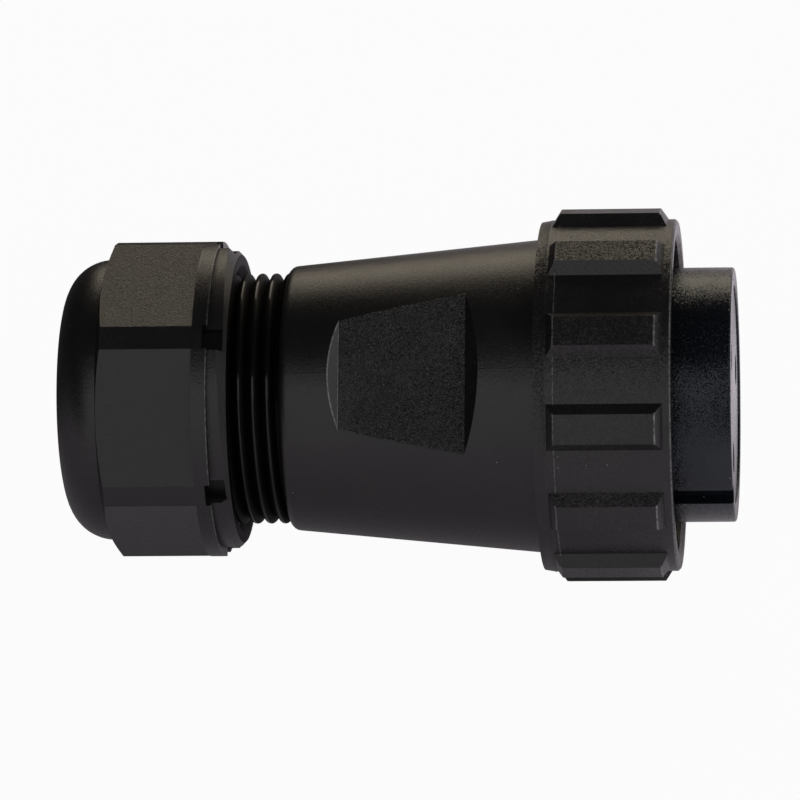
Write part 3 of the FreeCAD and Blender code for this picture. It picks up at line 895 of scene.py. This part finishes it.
studio = {
    "floor": (0.94, 0.94, 0.94, 1), "floorHalf": 4.0, "floorGap": 0.0002, "pale": 0.96,
    "support": 20.6, "ribIn": 2.0, "collarIn": 3.0, "room": (0.02, 0.02, 0.021, 1),
    # the floor as the part mirrors it: a tint, then places in metres (from, to) with the level at each
    "mirrored": (1.0, 0.92, 1.0), "before": (0.0, 0.06, 0.22, 0.56),
    "behind": (0.01, 0.035, 0.0, 0.5), "farBehind": (0.06, 0.13, 0.0, 0.3), "behindAlong": (-0.045, -0.012, 0.3, 1.0),
    "plugEnd": (0.005, 0.02, 0.0, 0.25), "cableEnd": (0.03, 0.052), "cableBehind": (0.0, 0.02), "cableDim": 0.88,
    "distance": 670.0, "lens": 268.0, "azimuth": 6.6, "elevation": 33.0, "roll": 4.1,
    "aim": (-37.5, 0.0, -0.35),
    # name: width, height, azimuth, elevation, distance, radiance, colour
    "panels": {
        "backSoftbox": (0.9, 0.46, 168.5, 26.5, 0.8, 1.72, (1.0, 0.88, 0.7)),
        "frontFill": (0.74, 0.48, -13.0, 15.4, 0.814, 0.70, (1.0, 0.975, 1.0)),
        "frontTopFill": (1.2, 0.30, 0.0, 42.7, 0.835, 0.92, (1.0, 0.975, 1.0)),
        "rightFill": (0.6, 0.8, 76.0, 24.0, 0.9, 0.9, (1.0, 1.0, 1.0)),
    },
}


def wayTo(azimuth, elevation):
    az, el = math.radians(azimuth), math.radians(elevation)
    return Vector((math.sin(az) * math.cos(el), -math.cos(az) * math.cos(el), math.sin(el)))


def makeStudio():
    s = studio
    # the floor leans so that it meets both the ribs and the nut's collar
    ribX, collarX = ringLow.x + s["ribIn"], nutHigh.x - s["collarIn"]
    lean = math.atan2(s["support"] - nut["collar"], ribX - collarX)
    bm = bmesh.new()
    size = s["floorHalf"]
    for x, y in ((-size, -size), (size, -size), (size, size), (-size, size)):
        bm.verts.new((x, y, 0.0))
    bm.faces.new(bm.verts)
    mesh = bpy.data.meshes.new("floor")
    bm.to_mesh(mesh)
    bm.free()
    floor = bpy.data.objects.new("floor", mesh)
    bpy.context.collection.objects.link(floor)
    floor.rotation_euler = (0.0, lean, 0.0)
    floor.location = (ribX * mm, 0.0, -s["support"] * mm - s["floorGap"])
    f = Finish("paleFloor")
    f.done(**{"Base Color": s["floor"], "Roughness": 0.9, "Specular IOR Level": 0.0})
    seen = f.node("ShaderNodeLightPath", {}, {}, "Is Camera Ray")
    glossy = f.node("ShaderNodeLightPath", {}, {}, "Is Glossy Ray")
    back, right = f.along("Y"), f.along("X")
    before = f.between(back * -1.0, *s["before"])
    behind = f.between(back, *s["behind"]) - f.between(back, *s["farBehind"])
    cableEnd = f.between(right * -1.0, *s["cableEnd"]) * f.between(back, *s["cableBehind"])
    level = before + behind * f.between(right, *s["behindAlong"]) + f.between(right, *s["plugEnd"])
    level = level * (1 - cableEnd * s["cableDim"])
    mirrored = f.node("ShaderNodeVectorMath", {"operation": "SCALE"}, {0: s["mirrored"], "Scale": level})
    # what the part mirrors of the floor is a painted glow: set levels by place, low beside the part and dimmed at the
    # cable end as painted shade
    glow = f.node("ShaderNodeEmission", {}, {"Color": f.mix(seen, mirrored, (1, 1, 1, 1)), "Strength": 1.0})
    f.cover(seen * s["pale"] + glossy, glow)
    mesh.materials.append(f.material)

    centre = Vector(s["aim"]) * mm
    for name, (width, height, azimuth, elevation, distance, radiance, colour) in s["panels"].items():
        way = wayTo(azimuth, elevation)
        light = bpy.data.lights.new(name, "AREA")
        light.shape = "RECTANGLE"
        light.size, light.size_y = width, height
        light.energy = radiance * math.pi * width * height
        light.color = colour
        lamp = bpy.data.objects.new(name, light)
        lamp.location = centre + way * distance
        lamp.rotation_euler = (-way).to_track_quat("-Z", "Y").to_euler()
        bpy.context.collection.objects.link(lamp)
    world = bpy.data.worlds.new("room")
    bpy.context.scene.world = world
    world.use_nodes = True
    air = world.node_tree.nodes["Background"]
    air.inputs[0].default_value = s["room"]
    air.inputs[1].default_value = 1.0

    view = bpy.data.cameras.new("view")
    view.lens = s["lens"]
    view.sensor_width = 36.0
    view.clip_start = 0.01
    eye = bpy.data.objects.new("view", view)
    bpy.context.collection.objects.link(eye)
    way = wayTo(s["azimuth"], s["elevation"])
    eye.location = centre + way * s["distance"] * mm
    turn = (-way).to_track_quat("-Z", "Y").to_matrix() @ Matrix.Rotation(math.radians(-s["roll"]), 3, "Z")
    eye.rotation_euler = turn.to_euler()
    bpy.context.scene.camera = eye
    bpy.context.scene.view_settings.view_transform = "Standard"


makeStudio()
print("studio set")
